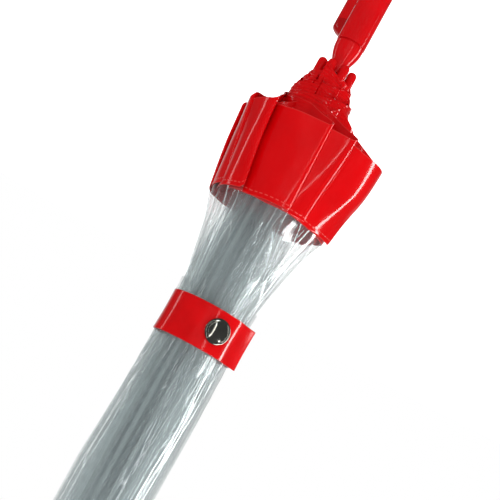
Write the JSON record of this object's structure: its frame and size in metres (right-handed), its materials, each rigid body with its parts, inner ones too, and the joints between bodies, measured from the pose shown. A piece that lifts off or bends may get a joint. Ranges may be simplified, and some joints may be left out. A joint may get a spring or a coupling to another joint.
{
  "type": "clear dome umbrella",
  "caption": "Furled clear dome umbrella with a red border, a crook handle and a snap strap; it opens to a deep see-through dome.",
  "frame": {"origin": "middle of the straight grip, on the shaft's axis", "axes": "+Z along the shaft from the handle to the ferrule, +Y from the grip to the crook's free leg"},
  "size_m": [0.1, 0.1248, 0.938],
  "materials": {
    "red_gloss": "glossy",
    "red_pvc": "glossy sheet",
    "clear_film": "clear soft film",
    "fibreglass": "satin",
    "steel": "satin",
    "white_plastic": "satin",
    "ferrule_plastic": "glossy",
    "dark_nickel": "polished"
  },
  "bodies": {
    "handle_and_shaft": {"shaft_tube": "steel", "crook_handle": "red_gloss", "crook_end_cap": "red_gloss", "grip_pin": "steel", "handle_collar": "red_gloss", "stop_ring": "steel", "upper_stop": "steel", "crown_notch": "white_plastic", "crown_wire": "steel", "top_cap": "ferrule_plastic", "ferrule": "ferrule_plastic"},
    "runner_body": {"runner": "white_plastic", "runner_wire": "steel"},
    "bottom_catch_body": {"bottom_catch": "steel"},
    "top_catch_body": {"top_catch": "steel"},
    "rib_upper_body_1": {"rib_upper_1": "fibreglass"},
    "rib_lower_body_1": {"rib_lower_1": "fibreglass"},
    "strut_body_1": {"strut_1": "steel"},
    "gore_upper_body_1": {"gore_upper_1": "clear_film"},
    "gore_lower_body_1": {"gore_lower_1": "clear_film"},
    "rib_upper_body_2": {"rib_upper_2": "fibreglass"},
    "rib_lower_body_2": {"rib_lower_2": "fibreglass"},
    "strut_body_2": {"strut_2": "steel"},
    "gore_upper_body_2": {"gore_upper_2": "clear_film"},
    "gore_lower_body_2": {"gore_lower_2": "clear_film"},
    "rib_upper_body_3": {"rib_upper_3": "fibreglass"},
    "rib_lower_body_3": {"rib_lower_3": "fibreglass"},
    "strut_body_3": {"strut_3": "steel"},
    "gore_upper_body_3": {"gore_upper_3": "clear_film"},
    "gore_lower_body_3": {"gore_lower_3": "clear_film"},
    "rib_upper_body_4": {"rib_upper_4": "fibreglass"},
    "rib_lower_body_4": {"rib_lower_4": "fibreglass"},
    "strut_body_4": {"strut_4": "steel"},
    "gore_upper_body_4": {"gore_upper_4": "clear_film"},
    "gore_lower_body_4": {"gore_lower_4": "clear_film"},
    "rib_upper_body_5": {"rib_upper_5": "fibreglass"},
    "rib_lower_body_5": {"rib_lower_5": "fibreglass"},
    "strut_body_5": {"strut_5": "steel"},
    "gore_upper_body_5": {"gore_upper_5": "clear_film"},
    "gore_lower_body_5": {"gore_lower_5": "clear_film"},
    "rib_upper_body_6": {"rib_upper_6": "fibreglass"},
    "rib_lower_body_6": {"rib_lower_6": "fibreglass"},
    "strut_body_6": {"strut_6": "steel"},
    "gore_upper_body_6": {"gore_upper_6": "clear_film"},
    "gore_lower_body_6": {"gore_lower_6": "clear_film"},
    "rib_upper_body_7": {"rib_upper_7": "fibreglass"},
    "rib_lower_body_7": {"rib_lower_7": "fibreglass"},
    "strut_body_7": {"strut_7": "steel"},
    "gore_upper_body_7": {"gore_upper_7": "clear_film"},
    "gore_lower_body_7": {"gore_lower_7": "clear_film"},
    "rib_upper_body_8": {"rib_upper_8": "fibreglass"},
    "rib_lower_body_8": {"rib_lower_8": "fibreglass"},
    "strut_body_8": {"strut_8": "steel"},
    "gore_upper_body_8": {"gore_upper_8": "clear_film"},
    "gore_lower_body_8": {"gore_lower_8": "clear_film"},
    "strap_outer_body": {"strap_tail_outer": "red_pvc", "snap_cap": "dark_nickel"},
    "strap_inner_body": {"strap_tail_inner": "red_pvc", "snap_stud": "steel"}
  },
  "joints": [
    {"name": "runner_slide", "type": "slide", "parent": "handle_and_shaft", "child": "runner_body", "axis": [0, 0, 1], "range_m": [0, 0.35944]},
    {"name": "bottom_catch_press", "type": "slide", "parent": "handle_and_shaft", "child": "bottom_catch_body", "axis": [0.9903, 0.1392, 0], "range_m": [-0.00115, 0], "stiffness_N_per_m": 400, "springref_m": 0.002},
    {"name": "top_catch_press", "type": "slide", "parent": "handle_and_shaft", "child": "top_catch_body", "axis": [0.9903, 0.1392, 0], "range_m": [-0.00115, 0], "stiffness_N_per_m": 400, "springref_m": 0.002},
    {"name": "rib_swing_1", "type": "hinge", "parent": "handle_and_shaft", "child": "rib_upper_body_1", "pos_m": [-0.00213, -0.00823, 0.785], "axis": [-0.9681, 0.2504, 0], "range_deg": [0, 64]},
    {"name": "rib_bend_1", "type": "hinge", "parent": "rib_upper_body_1", "child": "rib_lower_body_1", "pos_m": [-0.00313, -0.0121, 0.455], "axis": [-0.9681, 0.2504, 0], "range_deg": [-44.5, 0]},
    {"name": "strut_fold_1", "type": "hinge", "parent": "rib_upper_body_1", "child": "strut_body_1", "pos_m": [-0.00213, -0.00823, 0.465], "axis": [-0.9681, 0.2504, 0], "range_deg": [-128, 0]},
    {"name": "gore_upper_spread_1", "type": "hinge", "parent": "rib_upper_body_1", "child": "gore_upper_body_1", "pos_m": [0.04763, -0.33887, 0.59276], "axis": [0.1205, -0.8576, -0.5], "range_deg": [0, 46.8], "deforming": ["gore_upper_1"]},
    {"name": "gore_lower_spread_1", "type": "hinge", "parent": "rib_lower_body_1", "child": "gore_lower_body_1", "pos_m": [0.02886, -0.20532, 1.30605], "axis": [0.1375, -0.978, -0.1568], "range_deg": [0, 14.86], "deforming": ["gore_lower_1"]},
    {"name": "rib_swing_2", "type": "hinge", "parent": "handle_and_shaft", "child": "rib_upper_body_2", "pos_m": [0.00431, -0.00732, 0.785], "axis": [-0.8616, -0.5075, 0], "range_deg": [0, 64]},
    {"name": "rib_bend_2", "type": "hinge", "parent": "rib_upper_body_2", "child": "rib_lower_body_2", "pos_m": [0.00634, -0.01077, 0.455], "axis": [-0.8616, -0.5075, 0], "range_deg": [-44.5, 0]},
    {"name": "strut_fold_2", "type": "hinge", "parent": "rib_upper_body_2", "child": "strut_body_2", "pos_m": [0.00431, -0.00732, 0.465], "axis": [-0.8616, -0.5075, 0], "range_deg": [-128, 0]},
    {"name": "gore_upper_spread_2", "type": "hinge", "parent": "rib_upper_body_2", "child": "gore_upper_body_2", "pos_m": [0.27329, -0.20594, 0.59276], "axis": [0.6917, -0.5212, -0.5], "range_deg": [0, 46.8], "deforming": ["gore_upper_2"]},
    {"name": "gore_lower_spread_2", "type": "hinge", "parent": "rib_lower_body_2", "child": "gore_lower_body_2", "pos_m": [0.16559, -0.12478, 1.30605], "axis": [0.7888, -0.5944, -0.1568], "range_deg": [0, 14.86], "deforming": ["gore_lower_2"]},
    {"name": "rib_swing_3", "type": "hinge", "parent": "handle_and_shaft", "child": "rib_upper_body_3", "pos_m": [0.00823, -0.00213, 0.785], "axis": [-0.2504, -0.9681, 0], "range_deg": [0, 64]},
    {"name": "rib_bend_3", "type": "hinge", "parent": "rib_upper_body_3", "child": "rib_lower_body_3", "pos_m": [0.0121, -0.00313, 0.455], "axis": [-0.2504, -0.9681, 0], "range_deg": [-44.5, 0]},
    {"name": "strut_fold_3", "type": "hinge", "parent": "rib_upper_body_3", "child": "strut_body_3", "pos_m": [0.00823, -0.00213, 0.465], "axis": [-0.2504, -0.9681, 0], "range_deg": [-128, 0]},
    {"name": "gore_upper_spread_3", "type": "hinge", "parent": "rib_upper_body_3", "child": "gore_upper_body_3", "pos_m": [0.33887, 0.04763, 0.59276], "axis": [0.8576, 0.1205, -0.5], "range_deg": [0, 46.8], "deforming": ["gore_upper_3"]},
    {"name": "gore_lower_spread_3", "type": "hinge", "parent": "rib_lower_body_3", "child": "gore_lower_body_3", "pos_m": [0.20532, 0.02886, 1.30605], "axis": [0.978, 0.1375, -0.1568], "range_deg": [0, 14.86], "deforming": ["gore_lower_3"]},
    {"name": "rib_swing_4", "type": "hinge", "parent": "handle_and_shaft", "child": "rib_upper_body_4", "pos_m": [0.00732, 0.00431, 0.785], "axis": [0.5075, -0.8616, 0], "range_deg": [0, 64]},
    {"name": "rib_bend_4", "type": "hinge", "parent": "rib_upper_body_4", "child": "rib_lower_body_4", "pos_m": [0.01077, 0.00634, 0.455], "axis": [0.5075, -0.8616, 0], "range_deg": [-44.5, 0]},
    {"name": "strut_fold_4", "type": "hinge", "parent": "rib_upper_body_4", "child": "strut_body_4", "pos_m": [0.00732, 0.00431, 0.465], "axis": [0.5075, -0.8616, 0], "range_deg": [-128, 0]},
    {"name": "gore_upper_spread_4", "type": "hinge", "parent": "rib_upper_body_4", "child": "gore_upper_body_4", "pos_m": [0.20594, 0.27329, 0.59276], "axis": [0.5212, 0.6917, -0.5], "range_deg": [0, 46.8], "deforming": ["gore_upper_4"]},
    {"name": "gore_lower_spread_4", "type": "hinge", "parent": "rib_lower_body_4", "child": "gore_lower_body_4", "pos_m": [0.12478, 0.16559, 1.30605], "axis": [0.5944, 0.7888, -0.1568], "range_deg": [0, 14.86], "deforming": ["gore_lower_4"]},
    {"name": "rib_swing_5", "type": "hinge", "parent": "handle_and_shaft", "child": "rib_upper_body_5", "pos_m": [0.00213, 0.00823, 0.785], "axis": [0.9681, -0.2504, 0], "range_deg": [0, 64]},
    {"name": "rib_bend_5", "type": "hinge", "parent": "rib_upper_body_5", "child": "rib_lower_body_5", "pos_m": [0.00313, 0.0121, 0.455], "axis": [0.9681, -0.2504, 0], "range_deg": [-44.5, 0]},
    {"name": "strut_fold_5", "type": "hinge", "parent": "rib_upper_body_5", "child": "strut_body_5", "pos_m": [0.00213, 0.00823, 0.465], "axis": [0.9681, -0.2504, 0], "range_deg": [-128, 0]},
    {"name": "gore_upper_spread_5", "type": "hinge", "parent": "rib_upper_body_5", "child": "gore_upper_body_5", "pos_m": [-0.04763, 0.33887, 0.59276], "axis": [-0.1205, 0.8576, -0.5], "range_deg": [0, 46.8], "deforming": ["gore_upper_5"]},
    {"name": "gore_lower_spread_5", "type": "hinge", "parent": "rib_lower_body_5", "child": "gore_lower_body_5", "pos_m": [-0.02886, 0.20532, 1.30605], "axis": [-0.1375, 0.978, -0.1568], "range_deg": [0, 14.86], "deforming": ["gore_lower_5"]},
    {"name": "rib_swing_6", "type": "hinge", "parent": "handle_and_shaft", "child": "rib_upper_body_6", "pos_m": [-0.00431, 0.00732, 0.785], "axis": [0.8616, 0.5075, 0], "range_deg": [0, 64]},
    {"name": "rib_bend_6", "type": "hinge", "parent": "rib_upper_body_6", "child": "rib_lower_body_6", "pos_m": [-0.00634, 0.01077, 0.455], "axis": [0.8616, 0.5075, 0], "range_deg": [-44.5, 0]},
    {"name": "strut_fold_6", "type": "hinge", "parent": "rib_upper_body_6", "child": "strut_body_6", "pos_m": [-0.00431, 0.00732, 0.465], "axis": [0.8616, 0.5075, 0], "range_deg": [-128, 0]},
    {"name": "gore_upper_spread_6", "type": "hinge", "parent": "rib_upper_body_6", "child": "gore_upper_body_6", "pos_m": [-0.27329, 0.20594, 0.59276], "axis": [-0.6917, 0.5212, -0.5], "range_deg": [0, 46.8], "deforming": ["gore_upper_6"]},
    {"name": "gore_lower_spread_6", "type": "hinge", "parent": "rib_lower_body_6", "child": "gore_lower_body_6", "pos_m": [-0.16559, 0.12478, 1.30605], "axis": [-0.7888, 0.5944, -0.1568], "range_deg": [0, 14.86], "deforming": ["gore_lower_6"]},
    {"name": "rib_swing_7", "type": "hinge", "parent": "handle_and_shaft", "child": "rib_upper_body_7", "pos_m": [-0.00823, 0.00213, 0.785], "axis": [0.2504, 0.9681, 0], "range_deg": [0, 64]},
    {"name": "rib_bend_7", "type": "hinge", "parent": "rib_upper_body_7", "child": "rib_lower_body_7", "pos_m": [-0.0121, 0.00313, 0.455], "axis": [0.2504, 0.9681, 0], "range_deg": [-44.5, 0]},
    {"name": "strut_fold_7", "type": "hinge", "parent": "rib_upper_body_7", "child": "strut_body_7", "pos_m": [-0.00823, 0.00213, 0.465], "axis": [0.2504, 0.9681, 0], "range_deg": [-128, 0]},
    {"name": "gore_upper_spread_7", "type": "hinge", "parent": "rib_upper_body_7", "child": "gore_upper_body_7", "pos_m": [-0.33887, -0.04763, 0.59276], "axis": [-0.8576, -0.1205, -0.5], "range_deg": [0, 46.8], "deforming": ["gore_upper_7"]},
    {"name": "gore_lower_spread_7", "type": "hinge", "parent": "rib_lower_body_7", "child": "gore_lower_body_7", "pos_m": [-0.20532, -0.02886, 1.30605], "axis": [-0.978, -0.1375, -0.1568], "range_deg": [0, 14.86], "deforming": ["gore_lower_7"]},
    {"name": "rib_swing_8", "type": "hinge", "parent": "handle_and_shaft", "child": "rib_upper_body_8", "pos_m": [-0.00732, -0.00431, 0.785], "axis": [-0.5075, 0.8616, 0], "range_deg": [0, 64]},
    {"name": "rib_bend_8", "type": "hinge", "parent": "rib_upper_body_8", "child": "rib_lower_body_8", "pos_m": [-0.01077, -0.00634, 0.455], "axis": [-0.5075, 0.8616, 0], "range_deg": [-44.5, 0]},
    {"name": "strut_fold_8", "type": "hinge", "parent": "rib_upper_body_8", "child": "strut_body_8", "pos_m": [-0.00732, -0.00431, 0.465], "axis": [-0.5075, 0.8616, 0], "range_deg": [-128, 0]},
    {"name": "gore_upper_spread_8", "type": "hinge", "parent": "rib_upper_body_8", "child": "gore_upper_body_8", "pos_m": [-0.20594, -0.27329, 0.59276], "axis": [-0.5212, -0.6917, -0.5], "range_deg": [0, 46.8], "deforming": ["gore_upper_8"]},
    {"name": "gore_lower_spread_8", "type": "hinge", "parent": "rib_lower_body_8", "child": "gore_lower_body_8", "pos_m": [-0.12478, -0.16559, 1.30605], "axis": [-0.5944, -0.7888, -0.1568], "range_deg": [0, 14.86], "deforming": ["gore_lower_8"]},
    {"name": "strap_outer_open", "type": "hinge", "parent": "gore_lower_body_5", "child": "strap_outer_body", "pos_m": [-0.00404, 0.02872, 0.264], "axis": [0, 0, 1], "range_deg": [0, 75], "deforming": ["strap_tail_outer", "snap_cap"]},
    {"name": "strap_inner_open", "type": "hinge", "parent": "gore_lower_body_5", "child": "strap_inner_body", "pos_m": [-0.00404, 0.02872, 0.264], "axis": [0, 0, 1], "range_deg": [-75, 0], "deforming": ["strap_tail_inner", "snap_stud"]}
  ],
  "couplings": [
    {"joint": "rib_swing_1", "follows": "runner_slide", "rad_per_m": 3.1076},
    {"joint": "rib_bend_1", "follows": "runner_slide", "rad_per_m": -2.1608},
    {"joint": "strut_fold_1", "follows": "runner_slide", "rad_per_m": -6.2152},
    {"joint": "gore_upper_spread_1", "follows": "runner_slide", "rad_per_m": 2.2725},
    {"joint": "gore_lower_spread_1", "follows": "runner_slide", "rad_per_m": 0.7217},
    {"joint": "rib_swing_2", "follows": "runner_slide", "rad_per_m": 3.1076},
    {"joint": "rib_bend_2", "follows": "runner_slide", "rad_per_m": -2.1608},
    {"joint": "strut_fold_2", "follows": "runner_slide", "rad_per_m": -6.2152},
    {"joint": "gore_upper_spread_2", "follows": "runner_slide", "rad_per_m": 2.2725},
    {"joint": "gore_lower_spread_2", "follows": "runner_slide", "rad_per_m": 0.7217},
    {"joint": "rib_swing_3", "follows": "runner_slide", "rad_per_m": 3.1076},
    {"joint": "rib_bend_3", "follows": "runner_slide", "rad_per_m": -2.1608},
    {"joint": "strut_fold_3", "follows": "runner_slide", "rad_per_m": -6.2152},
    {"joint": "gore_upper_spread_3", "follows": "runner_slide", "rad_per_m": 2.2725},
    {"joint": "gore_lower_spread_3", "follows": "runner_slide", "rad_per_m": 0.7217},
    {"joint": "rib_swing_4", "follows": "runner_slide", "rad_per_m": 3.1076},
    {"joint": "rib_bend_4", "follows": "runner_slide", "rad_per_m": -2.1608},
    {"joint": "strut_fold_4", "follows": "runner_slide", "rad_per_m": -6.2152},
    {"joint": "gore_upper_spread_4", "follows": "runner_slide", "rad_per_m": 2.2725},
    {"joint": "gore_lower_spread_4", "follows": "runner_slide", "rad_per_m": 0.7217},
    {"joint": "rib_swing_5", "follows": "runner_slide", "rad_per_m": 3.1076},
    {"joint": "rib_bend_5", "follows": "runner_slide", "rad_per_m": -2.1608},
    {"joint": "strut_fold_5", "follows": "runner_slide", "rad_per_m": -6.2152},
    {"joint": "gore_upper_spread_5", "follows": "runner_slide", "rad_per_m": 2.2725},
    {"joint": "gore_lower_spread_5", "follows": "runner_slide", "rad_per_m": 0.7217},
    {"joint": "rib_swing_6", "follows": "runner_slide", "rad_per_m": 3.1076},
    {"joint": "rib_bend_6", "follows": "runner_slide", "rad_per_m": -2.1608},
    {"joint": "strut_fold_6", "follows": "runner_slide", "rad_per_m": -6.2152},
    {"joint": "gore_upper_spread_6", "follows": "runner_slide", "rad_per_m": 2.2725},
    {"joint": "gore_lower_spread_6", "follows": "runner_slide", "rad_per_m": 0.7217},
    {"joint": "rib_swing_7", "follows": "runner_slide", "rad_per_m": 3.1076},
    {"joint": "rib_bend_7", "follows": "runner_slide", "rad_per_m": -2.1608},
    {"joint": "strut_fold_7", "follows": "runner_slide", "rad_per_m": -6.2152},
    {"joint": "gore_upper_spread_7", "follows": "runner_slide", "rad_per_m": 2.2725},
    {"joint": "gore_lower_spread_7", "follows": "runner_slide", "rad_per_m": 0.7217},
    {"joint": "rib_swing_8", "follows": "runner_slide", "rad_per_m": 3.1076},
    {"joint": "rib_bend_8", "follows": "runner_slide", "rad_per_m": -2.1608},
    {"joint": "strut_fold_8", "follows": "runner_slide", "rad_per_m": -6.2152},
    {"joint": "gore_upper_spread_8", "follows": "runner_slide", "rad_per_m": 2.2725},
    {"joint": "gore_lower_spread_8", "follows": "runner_slide", "rad_per_m": 0.7217},
    {"joint": "strap_outer_open", "follows": "runner_slide", "rad_per_m": 3.6417},
    {"joint": "strap_inner_open", "follows": "runner_slide", "rad_per_m": -3.6417}
  ]
}
